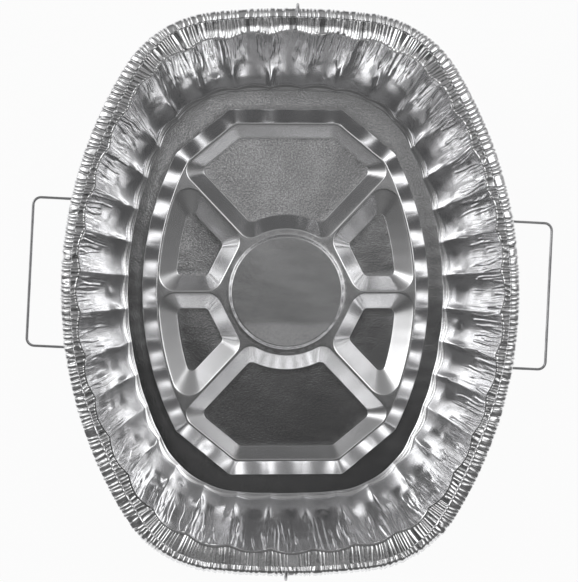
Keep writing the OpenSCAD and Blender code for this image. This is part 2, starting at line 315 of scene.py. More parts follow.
@dataclass(frozen=True)
class WireFinish:
    """Bright drawn steel wire with a light film of handling."""

    name: str = "drawn_wire"
    bright: Colour = (0.60, 0.60, 0.61, 1.0)
    dull: Colour = (0.42, 0.42, 0.43, 1.0)
    roughness: float = 0.26
    film_scale: float = 60.0
    film_contrast: tuple[float, float] = (0.35, 0.7)
    film_roughness: float = 0.14
    drawn_scale: float = 1600.0
    drawn_height: float = 0.00002
    drawn_strength: float = 0.6
    drawn_roughness: float = 0.06

    def material(self) -> bpy.types.Material:
        """Builds the material on the wire's own Object coordinates."""
        material, graph = new_material(self.name)
        at = graph.coordinates("Object")
        film = graph.noise(at, self.film_scale, 4.0, 0.6).ramp(*self.film_contrast)
        drawn = graph.noise(at, self.drawn_scale, 2.0, 0.5)
        roughness = film * self.film_roughness + drawn * self.drawn_roughness + self.roughness
        bump = {"Height": drawn, "Distance": self.drawn_height, "Strength": self.drawn_strength}
        graph.metal(graph.mix(film, self.bright, self.dull), roughness, bump)
        return material


# Outlines


def directions(angles: np.ndarray) -> np.ndarray:
    """The directions that lie at some angles."""
    return np.stack([np.cos(angles), np.sin(angles)], 1)


def raised(plan: np.ndarray, height: Union[float, np.ndarray]) -> np.ndarray:
    """The points of a plan at a height, or each at its own."""
    return np.column_stack([plan, np.broadcast_to(height, len(plan))])


@dataclass(frozen=True)
class Oval:
    """An oval of eight tangent arcs about the middle of the pan, in millimetres."""

    half_width: float
    half_length: float
    side: float
    end: float
    corner: float

    def arcs(self) -> list[tuple[np.ndarray, float, float, float]]:
        """The three arcs of a quarter, each as its centre, radius, first and last angle."""
        side = np.array([self.half_width - self.side, 0.0])
        end = np.array([0.0, self.half_length - self.end])
        reach, other = self.side - self.corner, self.end - self.corner
        gap = float(np.linalg.norm(end - side))
        along = (reach**2 - other**2 + gap**2) / (2 * gap)
        across = math.sqrt(reach**2 - along**2)
        unit = (end - side) / gap
        corner = side + along * unit + across * np.array([-unit[1], unit[0]])
        first = math.atan2(*(corner - side)[::-1])
        second = math.atan2(*(corner - end)[::-1])
        return [
            (side, self.side, 0.0, first),
            (corner, self.corner, first, second),
            (end, self.end, second, math.pi / 2),
        ]

    def places(self, count: int) -> tuple[np.ndarray, np.ndarray]:
        """Places round the oval, evenly spaced along each quarter.

        Args:
            count: How many, a multiple of 4.

        Returns:
            Their points and the directions that they face.
        """
        quarter = count // 4
        arcs = self.arcs()
        lengths = np.array([radius * (last - first) for _, radius, first, last in arcs])
        starts = np.concatenate([[0.0], np.cumsum(lengths)])
        distance = np.linspace(0.0, starts[-1], quarter + 1)
        which = np.clip(np.searchsorted(starts, distance, side="right") - 1, 0, 2)
        points, faces = np.zeros((quarter + 1, 2)), np.zeros((quarter + 1, 2))
        for k, (centre, radius, first, last) in enumerate(arcs):
            on = which == k
            angle = first + (last - first) * (distance[on] - starts[k]) / lengths[k]
            faces[on] = directions(angle)
            points[on] = centre + radius * faces[on]
        signs = ((1, 1), (-1, 1), (-1, -1), (1, -1))
        runs = [slice(0, quarter), slice(quarter, 0, -1)] * 2
        both = [
            np.concatenate([array[run] * sign for run, sign in zip(runs, signs)])
            for array in (points, faces)
        ]
        return both[0], both[1]


@dataclass(frozen=True)
class Limit:
    """One side of a pressed outline, as how far it lets a ray run at a level of the slope."""

    reach: Callable[[np.ndarray, np.ndarray, float, float], np.ndarray]

    @staticmethod
    def straight(facing: Sequence[float], at: float, slope: float) -> "Limit":
        """A straight side: no further than a distance in the direction that it faces."""
        normal = np.array(facing, float)

        def reach(start: np.ndarray, rays: np.ndarray, level: float, inset: float) -> np.ndarray:
            """How far each ray runs."""
            ahead = rays @ normal
            with np.errstate(divide="ignore"):
                far = (at + slope * level - inset - start @ normal) / ahead
            return np.where(ahead > 1e-6, far, np.inf)

        return Limit(reach)

    @staticmethod
    def inside(centre: Sequence[float], radius: float, slope: float) -> "Limit":
        """A side that is an arc seen from inside."""
        middle = np.array(centre, float)

        def reach(start: np.ndarray, rays: np.ndarray, level: float, inset: float) -> np.ndarray:
            """How far each ray runs."""
            back = rays @ (start - middle)
            gap = (start - middle) @ (start - middle) - (radius + slope * level - inset) ** 2
            return -back + np.sqrt(back**2 - gap)

        return Limit(reach)

    @staticmethod
    def outside(radius: float, slope: float) -> "Limit":
        """A side that is an arc round the middle of the pan, seen from outside."""

        def reach(start: np.ndarray, rays: np.ndarray, level: float, inset: float) -> np.ndarray:
            """How far each ray runs."""
            back = rays @ start
            root = back**2 - (start @ start - (radius + slope * level + inset) ** 2)
            hit = (root > 0) & (back < 0)
            return np.where(hit, -back - np.sqrt(np.where(hit, root, 0.0)), np.inf)

        return Limit(reach)


@dataclass(frozen=True)
class Slope:
    """A closed sloping side of the pressed floor, as a family of outlines about a centre."""

    centre: tuple[float, float]
    limits: tuple[Limit, ...]
    crest_round: float
    foot_round: float
    spacing: float

    def sharp(self, angles: np.ndarray, level: float, inset: float) -> np.ndarray:
        """How far the outline with sharp corners is in each direction, moved in by an inset."""
        rays = directions(angles)
        start = np.array(self.centre)
        return np.stack([limit.reach(start, rays, level, inset) for limit in self.limits]).min(0)

    def outline(self, angles: np.ndarray, level: float) -> np.ndarray:
        """The outline at a level, 0 at the crest and 1 at the foot, with its corners rounded."""
        start = np.array(self.centre)
        radius = self.crest_round + (self.foot_round - self.crest_round) * level
        turn = np.linspace(0.0, 2 * math.pi, 1441)[:-1]
        core = directions(turn) * self.sharp(turn, level, radius)[:, None]
        rays = directions(angles)
        along = rays @ core.T
        aside = rays[:, :1] * core[:, 1] - rays[:, 1:] * core[:, 0]
        spare = radius**2 - aside**2
        reach = np.where(spare > 0, along + np.sqrt(np.maximum(spare, 0)), -np.inf).max(1)
        return start + rays * reach[:, None]

    def angles(self) -> np.ndarray:
        """Directions that space the points evenly along the outline halfway down."""
        dense = np.linspace(0.0, 2 * math.pi, 2881)
        line = self.outline(dense, 0.5)
        along = np.concatenate([[0.0], np.cumsum(np.linalg.norm(np.diff(line, axis=0), axis=1))])
        count = int(round(along[-1] / self.spacing))
        return np.interp(np.linspace(0.0, along[-1], count + 1)[:-1], along, dense)


def eased(x: np.ndarray) -> np.ndarray:
    """From 0 to 1 as x does, smooth at both ends."""
    x = np.clip(x, 0.0, 1.0)
    return x * x * (3 - 2 * x)


def inside_outline(points: np.ndarray, outline: np.ndarray) -> np.ndarray:
    """True for each point that lies inside a closed outline."""
    x, y = points[:, 0], points[:, 1]
    within = np.zeros(len(points), bool)
    for (ax, ay), (bx, by) in zip(outline, np.roll(outline, -1, axis=0)):
        if ay != by:
            crosses = (ay > y) != (by > y)
            within ^= crosses & (x < (bx - ax) * (y - ay) / (by - ay) + ax)
    return within


def swell(x: np.ndarray, y: np.ndarray, length: float, seed: int) -> np.ndarray:
    """A gentle random unevenness between about -1 and 1, with waves of about a length."""
    random = Random(seed)
    total = np.zeros_like(x, float)
    for _ in range(6):
        turn, phase = random.uniform(0, 2 * math.pi, 2)
        pace = 2 * math.pi / (length * random.uniform(0.7, 1.5))
        total += np.sin(pace * (x * math.cos(turn) + y * math.sin(turn)) + phase)
    return total / 3.0


def ring_noise(turn: np.ndarray, rise: np.ndarray, cells: tuple[int, int], seed: int) -> np.ndarray:
    """Smooth random values between -1 and 1 on a sheet that closes on itself.

    Args:
        turn: How far round each column is, from 0 to 1.
        rise: How far up each row is, from 0 to 1.
        cells: How many cells there are round and up.
        seed: Which pattern.

    Returns:
        One value for each row and column.
    """
    around, up = cells
    grid = Random(seed).uniform(-1, 1, (up + 2, around))
    a, b = turn * around, rise * up
    i, j = np.floor(a).astype(int), np.floor(b).astype(int)
    s, t = eased(a - i), eased(b - j)[:, None]
    left, right = i % around, (i + 1) % around
    low = grid[j][:, left] * (1 - s) + grid[j][:, right] * s
    high = grid[j + 1][:, left] * (1 - s) + grid[j + 1][:, right] * s
    return low * (1 - t) + high * t


# Sheets


@dataclass
class Sheet:
    """A growing mesh of foil, in millimetres."""

    points: list[np.ndarray] = field(default_factory=list)
    faces: list[np.ndarray] = field(default_factory=list)
    count: int = 0

    def add(self, points: np.ndarray) -> np.ndarray:
        """Adds points and returns their places in the mesh."""
        self.points.append(points)
        places = np.arange(self.count, self.count + len(points))
        self.count += len(points)
        return places

    def band(self, inner: np.ndarray, outer: np.ndarray) -> None:
        """Joins two closed rings of as many points, the first inside the second."""
        a, b = inner, np.roll(inner, -1)
        c, d = np.roll(outer, -1), outer
        self.faces.append(np.stack([a, d, c], 1))
        self.faces.append(np.stack([a, c, b], 1))

    def flat(self, outer: np.ndarray, holes: Sequence[np.ndarray], spacing: float) -> np.ndarray:
        """Fills the flat between a ring and the holes in it.

        Args:
            outer: The ring's places in the mesh.
            holes: The places of each hole's ring.
            spacing: How far apart the points inside lie.

        Returns:
            The places of the points added inside.
        """
        known = np.concatenate(self.points)
        rings = [outer, *holes]
        border = known[np.concatenate(rings)][:, :2]
        edge = known[outer][:, :2]
        low, high = edge.min(0), edge.max(0)
        across = np.arange(low[0], high[0], spacing)
        along = np.arange(low[1], high[1], spacing * 0.87)
        x, y = np.meshgrid(across, along)
        x = x + (np.arange(len(along)) % 2)[:, None] * spacing / 2
        inner = np.stack([x.ravel(), y.ravel()], 1)
        inner = inner[inside_outline(inner, edge)]
        for hole in holes:
            inner = inner[~inside_outline(inner, known[hole][:, :2])]
        clear = np.full(len(inner), np.inf)
        for start in range(0, len(border), 200):
            gaps = inner[:, None] - border[None, start : start + 200]
            clear = np.minimum(clear, np.linalg.norm(gaps, axis=2).min(1))
        inner = inner[clear > spacing * 0.55]
        height = known[outer][:, 2].mean()
        added = self.add(raised(inner, height))
        places = np.concatenate([*rings, added])
        links, start = [], 0
        for ring in rings:
            ends = start + np.arange(len(ring))
            links += list(zip(ends.tolist(), np.roll(ends, -1).tolist()))
            start += len(ring)
        plan = np.concatenate([border, inner])
        result = delaunay_2d_cdt([Vector(p) for p in plan], links, [], 0, 1e-6, True)
        if len(result[0]) != len(plan):
            raise ValueError("two rings of the pressed floor cross")
        triangles = np.array([[result[3][k][0] for k in face] for face in result[2]])
        middle = plan[triangles].mean(1)
        keep = inside_outline(middle, edge)
        for hole in holes:
            keep &= ~inside_outline(middle, known[hole][:, :2])
        self.faces.append(places[triangles[keep]])
        return added

    def arrays(self) -> tuple[np.ndarray, np.ndarray]:
        """All points and all triangles."""
        return np.concatenate(self.points), np.concatenate(self.faces)


def point_normals(points: np.ndarray, faces: np.ndarray) -> np.ndarray:
    """The direction that the sheet faces at each point."""
    corners = points[faces]
    facing = np.cross(corners[:, 1] - corners[:, 0], corners[:, 2] - corners[:, 0])
    total = np.zeros_like(points)
    for k in range(3):
        np.add.at(total, faces[:, k], facing)
    return total / np.maximum(np.linalg.norm(total, axis=1), 1e-12)[:, None]


def new_mesh(name: str, points: np.ndarray, faces: np.ndarray) -> bpy.types.Mesh:
    """A mesh from points in millimetres and faces that all have as many corners."""
    mesh = bpy.data.meshes.new(name)
    mesh.vertices.add(len(points))
    mesh.vertices.foreach_set("co", (points * MM).astype(np.float32).ravel())
    mesh.loops.add(faces.size)
    mesh.loops.foreach_set("vertex_index", faces.astype(np.int32).ravel())
    mesh.polygons.add(len(faces))
    starts = np.arange(0, faces.size, faces.shape[1], dtype=np.int32)
    mesh.polygons.foreach_set("loop_start", starts)
    mesh.update(calc_edges=True)
    return mesh


def add_lane(mesh: bpy.types.Mesh, name: str, values: np.ndarray, vector: bool) -> None:
    """Adds an attribute of the mesh's points, of vectors or of numbers."""
    attribute = mesh.attributes.new(name, "FLOAT_VECTOR" if vector else "FLOAT", "POINT")
    attribute.data.foreach_set("vector" if vector else "value", values.astype(np.float32).ravel())


def new_object(name: str, data: bpy.types.ID) -> bpy.types.Object:
    """An object of its own in the scene."""
    made = bpy.data.objects.new(name, data)
    bpy.context.scene.collection.objects.link(made)
    return made


def edge_keys(ends: np.ndarray, count: int) -> np.ndarray:
    """One number for each edge, from the places of its two ends."""
    return ends[:, 0].astype(np.int64) * count + ends[:, 1]


def closed_foil(
    name: str, points: np.ndarray, faces: np.ndarray, foil: float, lanes: Lanes
) -> bpy.types.Object:
    """Gives a sheet its thickness below, closes its edges and makes it an object.

    Args:
        name: The piece's name.
        points: The upper side's points, in millimetres.
        faces: Its triangles, facing up.
        foil: The thickness.
        lanes: Attributes of the upper side's points, which its material reads.

    Returns:
        The finished piece.
    """
    count = len(points)
    lower = points - point_normals(points, faces) * foil
    sides = np.concatenate([faces[:, [0, 1]], faces[:, [1, 2]], faces[:, [2, 0]]])
    rim = sides[~np.isin(edge_keys(sides, count), edge_keys(sides[:, ::-1], count))]
    a, b = rim[:, 0], rim[:, 1]
    walls = np.concatenate([np.stack([b, a, a + count], 1), np.stack([b, a + count, b + count], 1)])
    every = np.concatenate([faces, faces[:, ::-1] + count, walls])
    mesh = new_mesh(name, np.concatenate([points, lower]), every)
    mesh.polygons.foreach_set("use_smooth", np.ones(len(every), bool))
    ends = np.zeros(2 * len(mesh.edges), np.int32)
    mesh.edges.foreach_get("vertices", ends)
    ends = np.sort(ends.reshape(-1, 2), axis=1)
    rims = np.concatenate([np.sort(rim, 1), np.sort(rim, 1) + count])
    on_rim = np.isin(edge_keys(ends, 2 * count), edge_keys(rims, 2 * count))
    for lane_name, values in lanes.items():
        add_lane(mesh, lane_name, np.concatenate([values, values]), values.ndim == 2)
    sharp = mesh.attributes.new("sharp_edge", "BOOLEAN", "EDGE")
    sharp.data.foreach_set("value", on_rim)
    mesh.validate()
    return new_object(name, mesh)


def strip(
    name: str, rows: np.ndarray, lay: np.ndarray, columns: np.ndarray, foil: float
) -> bpy.types.Object:
    """Makes a piece from part of a pressed band.

    Args:
        name: The piece's name.
        rows: The band's points, as rows of columns, in millimetres.
        lay: The same points as if wrapped on a drum.
        columns: The columns that the piece has, in order.
        foil: The thickness.

    Returns:
        The piece, closed on itself where it has every column.
    """
    up, around = len(rows), len(columns)
    whole = around == rows.shape[1]
    places = np.arange(up * around).reshape(up, around)
    if whole:
        places = np.concatenate([places, places[:, :1]], axis=1)
    a, b, c, d = places[:-1, :-1], places[:-1, 1:], places[1:, 1:], places[1:, :-1]
    faces = np.concatenate([np.stack(face, -1).reshape(-1, 3) for face in ((a, d, c), (a, c, b))])
    lanes = {"lay": lay[:, columns].reshape(-1, 3), "calm": np.zeros(up * around)}
    return closed_foil(name, rows[:, columns].reshape(-1, 3), faces, foil, lanes)


@dataclass(frozen=True)
class Press:
    """A Geometry Nodes tree that presses a rule into a sheet, with its named inputs."""

    tree: bpy.types.NodeTree
    inputs: dict[str, str]

    def run(self, name: str, rows: np.ndarray, lanes: Lanes, settings: dict) -> np.ndarray:
        """Presses a closed band of rings.

        Args:
            name: The name of the sheet while it is pressed.
            rows: The band's points, as rows of columns, in millimetres.
            lanes: Attributes of the points that the tree reads.
            settings: Values for the tree's named inputs.

        Returns:
            The pressed points, as rows of columns, in millimetres.
        """
        up, around = rows.shape[:2]
        places = np.arange(up * around).reshape(up, around)
        a, b = places[:-1], np.roll(places[:-1], -1, axis=1)
        d, c = places[1:], np.roll(places[1:], -1, axis=1)
        quads = np.stack([a, d, c, b], -1).reshape(-1, 4)
        mesh = new_mesh(name, rows.reshape(-1, 3), quads)
        for lane_name, values in lanes.items():
            add_lane(mesh, lane_name, values, values.ndim == 3)
        blank = new_object(name, mesh)
        modifier = blank.modifiers.new("press", "NODES")
        modifier.node_group = self.tree
        for label, value in settings.items():
            modifier[self.inputs[label]] = value
        graph = bpy.context.evaluated_depsgraph_get()
        pressed = bpy.data.meshes.new_from_object(blank.evaluated_get(graph))
        points = np.zeros(3 * len(pressed.vertices), np.float32)
        pressed.vertices.foreach_get("co", points)
        blank.modifiers.remove(modifier)
        bpy.data.objects.remove(blank)
        return points.reshape(up, around, 3).astype(float) / MM


def new_press(name: str, settings: dict[str, Value]) -> tuple[Press, Graph, dict[str, Signal]]:
    """Starts a Geometry Nodes tree.

    Args:
        name: The tree's name.
        settings: Each named input's value, a float, an int or a material.

    Returns:
        The press, its graph, and the signals of its inputs with the geometry.
    """
    tree = bpy.data.node_groups.new(name, "GeometryNodeTree")
    tree.is_modifier = True
    tree.interface.new_socket("Geometry", in_out="INPUT", socket_type="NodeSocketGeometry")
    kinds = {float: "NodeSocketFloat", int: "NodeSocketInt"}
    keys = {}
    for label, value in settings.items():
        kind = kinds.get(type(value), "NodeSocketMaterial")
        socket = tree.interface.new_socket(label, in_out="INPUT", socket_type=kind)
        socket.default_value = value
        keys[label] = socket.identifier
    tree.interface.new_socket("Geometry", in_out="OUTPUT", socket_type="NodeSocketGeometry")
    graph = Graph(tree)
    source = tree.nodes.new("NodeGroupInput")
    signals = {socket.name: Signal(graph, socket) for socket in source.outputs if socket.name}
    return Press(tree, keys), graph, signals


def end_press(graph: Graph, geometry: Signal, material: Signal) -> None:
    """Ends a tree: instances are made real and the material is set."""
    real = graph.add("GeometryNodeRealizeInstances", {}, {"Geometry": geometry})
    dressed = graph.add("GeometryNodeSetMaterial", {}, {"Geometry": real, "Material": material})
    out = graph.tree.nodes.new("NodeGroupOutput")
    graph.tree.links.new(dressed.socket, out.inputs[0])


def lane(graph: Graph, name: str, kind: str = "FLOAT") -> Signal:
    """Reads one of the sheet's named attributes."""
    return graph.add("GeometryNodeInputNamedAttribute", {"data_type": kind}, {"Name": name})


def chance(graph: Graph, low: float, high: float, identity: Signal, seed: Signal, turn: int) -> Signal:
    """A random number for each identity, the same on every run."""
    node = graph.tree.nodes.new("FunctionNodeRandomValue")
    node.data_type = "FLOAT"
    for socket in node.inputs:
        if socket.type == "VALUE" and socket.name == "Min":
            socket.default_value = low
        elif socket.type == "VALUE" and socket.name == "Max":
            socket.default_value = high
        elif socket.name == "ID":
            graph.tree.links.new(identity.socket, socket)
        elif socket.name == "Seed":
            graph.tree.links.new((seed + float(turn)).socket, socket)
    wanted = [socket for socket in node.outputs if socket.type == "VALUE" and socket.enabled]
    return Signal(graph, wanted[0])


# The pan


@dataclass
class RoastingPan:
    """The sizes that all sheets of the pan share, in millimetres."""

    floor: Oval = Oval(135.5, 172.5, 287, 525, 79)
    mouth: Oval = Oval(169, 206, 294, 312, 95)
    rim: Oval = Oval(185, 228.5, 345, 575, 95)
    floor_z: float = 4.25
    mouth_z: float = 87.05
    rim_z: float = 88.25
    curl_radius: float = 3.0
    foil: float = 0.15
    flutes: int = 36
    flute_belly: float = 4.2
    flute_mouth: float = 3.4
    ridge_round: float = 0.006

    def lobes(self, count: int) -> np.ndarray:
        """1 in the middle of each flute and 0 on the ridge between two."""
        turn = np.arange(count) * self.flutes / count
        return np.sqrt(np.cos(math.pi * turn) ** 2 + self.ridge_round)

    def lay(self, rows: np.ndarray) -> np.ndarray:
        """The rows' points as if wrapped on a round drum, in metres."""
        up, around = rows.shape[:2]
        turn = np.arange(around) * 2 * math.pi / around
        radius = np.linalg.norm(np.diff(rows[-1], axis=0), axis=1).sum() / (2 * math.pi)
        steps = np.linalg.norm(np.diff(rows, axis=0), axis=2).mean(1)
        rise = np.concatenate([[0.0], np.cumsum(steps)])
        flat = np.broadcast_to(rise[:, None], (up, around))
        round_x = np.broadcast_to(radius * np.cos(turn), (up, around))
        round_y = np.broadcast_to(radius * np.sin(turn), (up, around))
        return np.stack([round_x, round_y, flat], -1) * MM

    def dress(self, piece: bpy.types.Object, material: bpy.types.Material) -> None:
        """Gives a piece its foil and places it in the frame."""
        piece.data.materials.append(material)
        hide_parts(Part.PAN.value)
        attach(piece, "root")
        LOG.info("%s has %d triangles", piece.name, len(piece.data.polygons))


@dataclass
class PressedFloor:
    """The floor: a rib ring with six spokes, six panels between them, and a hub with a pad."""

    pan: RoastingPan
    rib_height: float = 9.0
    half_crest: float = 0.35
    crest_half_width: float = 108.8
    crest_half_length: float = 142.0
    end_crest: float = 87.0
    corner: tuple[float, float] = (82.8, 109.7)
    outer_slope: float = 12.5
    end_slope: float = 11.2
    side_slope: float = 15.4
    spoke_angle: float = 46.7
    spoke_offset: float = 4.9
    spoke_end_slope: float = 13.0
    spoke_side_slope: float = 15.6
    level_spoke_slope: float = 13.6
    hub_radius: float = 52.8
    hub_slope: float = 13.0
    hub_side_angle: float = 27.0
    pad_radius: float = 46.4
    pad_slope: float = 2.4
    pad_height: float = 2.0
    pad_fold: float = -27.0
    pad_tilt: float = 0.05
    border: int = 432
    border_in: float = 1.6
    border_lobes: float = 0.5
    border_drop: float = 0.07
    crest_edge: float = 0.085
    foot_edge: float = 0.035
    pad_points: int = 180
    pad_shares: tuple[float, ...] = (0.0, 0.12, 0.3, 0.5, 0.7, 0.88, 1.0)
    pad_spacing: float = 3.0
    crest_spacing: float = 2.5
    gutter_spacing: float = 4.0
    panel_spacing: float = 5.0
    waves: tuple[float, float, int] = (0.10, 55.0, 3)
    ripples: tuple[float, float, int] = (0.02, 14.0, 5)
    waves_end: float = 150.0
    waves_fade: float = 30.0

    def ring_limits(self, out: float, slope: float) -> tuple[Limit, ...]:
        """The rib ring's sides, moved out, with a slope beyond them."""
        width, length, (x, y) = self.crest_half_width, self.crest_half_length, self.corner
        rise = width - x
        radius = (rise * rise + y * y) / (2 * rise)
        drop = np.array([length - y, x - self.end_crest / 2])
        facing = drop / np.linalg.norm(drop)
        at = float(facing @ np.array([x, y])) + out
        sides = [Limit.straight((0, s), length + out, slope) for s in (1, -1)]
        for sx in (1, -1):
            sides.append(Limit.inside((sx * (width - radius), 0), radius + out, slope))
            sides += [Limit.straight((sx * facing[0], sy * facing[1]), at, slope) for sy in (1, -1)]
        return tuple(sides)

    def end_pocket(self) -> Slope:
        """The panel towards +Y: within the ring, beyond both slanting spokes and the hub."""
        turn = math.radians(self.spoke_angle)
        at = -self.spoke_offset - self.half_crest
        spokes = [
            Limit.straight((s * math.sin(turn), -math.cos(turn)), at, -self.spoke_end_slope)
            for s in (1, -1)
        ]
        hub = Limit.outside(self.hub_radius, self.hub_slope)
        ring = self.ring_limits(-self.half_crest, -self.end_slope)
        limits = (*ring, *spokes, hub)
        return Slope((0.0, 101.0), limits, crest_round=11.0, foot_round=5.5, spacing=1.7)

    def side_pocket(self) -> Slope:
        """The panel towards +X and +Y: between two spokes, the hub and the ring."""
        turn = math.radians(self.spoke_angle + 90)
        hub = math.radians(self.hub_side_angle)
        sides = (
            Limit.straight((0, -1), -self.half_crest, -self.level_spoke_slope),
            Limit.straight(
                (math.cos(turn), math.sin(turn)),
                self.spoke_offset - self.half_crest,
                -self.spoke_side_slope,
            ),
            Limit.straight((-math.cos(hub), -math.sin(hub)), -self.hub_radius, -self.hub_slope),
        )
        ring = self.ring_limits(-self.half_crest, -self.side_slope)
        return Slope((77.0, 34.0), (*ring, *sides), crest_round=14.0, foot_round=4.5, spacing=1.4)

    def levels(self, top: float, foot: float) -> tuple[np.ndarray, np.ndarray]:
        """The levels of a slope's outlines and their heights, with rounded edges.

        Args:
            top: The share of the slope that the upper edge's round takes.
            foot: The share that the lower edge's round takes.

        Returns:
            The levels from crest to foot, and their heights.
        """
        fine = np.linspace(0.0, 1.0, 2001)
        fall = np.cumsum(eased(fine / top) * eased((1 - fine) / foot))
        fall = (fall - fall[0]) / (fall[-1] - fall[0])
        upper = top * np.array([0.0, 0.3, 0.6, 1.0])
        lower = 1 - foot * np.array([1.0, 0.6, 0.3, 0.0])
        middle = np.linspace(top, 1 - foot, 7)[1:-1]
        levels = np.concatenate([upper, middle, lower])
        return levels, self.rib_height * (1 - np.interp(levels, fine, fall))

    def rings(
        self, sheet: Sheet, slope: Slope, flips: tuple[int, int], outwards: bool
    ) -> list[np.ndarray]:
        """Adds a slope's rings, from the crest down.

        Args:
            sheet: The mesh that grows.
            slope: The slope.
            flips: Signs that mirror it in X and Y.
            outwards: True where the foot lies outside the crest.

        Returns:
            The places of each ring, anticlockwise.
        """
        angles = slope.angles()
        levels, heights = self.levels(self.crest_edge, self.foot_edge)
        places = []
        for level, height in zip(levels, heights):
            line = slope.outline(angles, level) * flips
            if flips[0] * flips[1] < 0:
                line = line[::-1]
            places.append(sheet.add(raised(line, height)))
        for above, below in zip(places, places[1:]):
            if outwards:
                sheet.band(above, below)
            else:
                sheet.band(below, above)
        return places

    def pad(self, sheet: Sheet) -> np.ndarray:
        """Adds the hub's raised pad and returns the places of its foot."""
        unit = directions(np.arange(self.pad_points) * 2 * math.pi / self.pad_points)
        foot = self.pad_radius + self.pad_slope
        shares = np.array(self.pad_shares)
        rises = eased(shares)
        radii = list(foot - self.pad_slope * shares) + [self.pad_radius - 1.0]
        heights = list(self.rib_height + self.pad_height * rises) + [self.rib_height + self.pad_height]
        places = [sheet.add(raised(unit * radius, height)) for radius, height in zip(radii, heights)]
        for outer, inner in zip(places, places[1:]):
            sheet.band(inner, outer)
        sheet.flat(places[-1], [], self.pad_spacing)
        return places[0]

    def build(self) -> bpy.types.Object:
        """Makes the floor from its foot at the wall to the pad on its hub."""
        sheet = Sheet()
        limits = self.ring_limits(self.half_crest, self.outer_slope)
        outer = Slope((0.0, 0.0), limits, crest_round=5.0, foot_round=3.0, spacing=1.9)
        ring = self.rings(sheet, outer, (1, 1), True)
        holes, panels, slopes = [], [], ring[1:-1]
        for sy in (1, -1):
            end = self.rings(sheet, self.end_pocket(), (1, sy), False)
            slopes += end[1:-1]
            panels += [end[-1], sheet.flat(end[-1], [], self.panel_spacing)]
            holes.append(end[0])
            for sx in (1, -1):
                side = self.rings(sheet, self.side_pocket(), (sx, sy), False)
                slopes += side[1:-1]
                panels += [side[-1], sheet.flat(side[-1], [], self.panel_spacing)]
                holes.append(side[0])
        holes.append(self.pad(sheet))
        sheet.flat(ring[0], holes, self.crest_spacing)
        places, faces = self.pan.floor.places(self.border)
        lobes = self.pan.lobes(self.border)
        edge = places + faces * (self.border_lobes * lobes - self.border_in)[:, None]
        foot = sheet.add(raised(edge, 0.0))
        gutter = sheet.flat(foot, [ring[-1]], self.gutter_spacing)
        points, triangles = sheet.arrays()
        points = self.worked(points)
        points[foot, 2] -= self.border_drop
        points[:, 2] += self.pan.floor_z
        calm = np.zeros(len(points))
        for places in slopes:
            calm[places] = -1.0
        for places in [*panels, foot, gutter, ring[-1]]:
            calm[places] = 1.0
        return closed_foil("foil_floor", points, triangles, self.pan.foil, {"calm": calm})

    def worked(self, points: np.ndarray) -> np.ndarray:
        """The small unevenness of a pressed sheet, and the pad's folded lower part."""
        x, y, z = points.T
        near = np.clip((self.waves_end - np.abs(y)) / self.waves_fade, 0.0, 1.0)
        for (height, *rest), share in ((self.waves, near), (self.ripples, 1.0)):
            z = z + height * share * swell(x, y, *rest)
        on_pad = np.hypot(x, y) < self.pad_radius + 0.1
        z = z + np.where(on_pad, np.maximum(self.pad_fold - y, 0.0) * self.pad_tilt, 0.0)
        return np.column_stack([x, y, z])


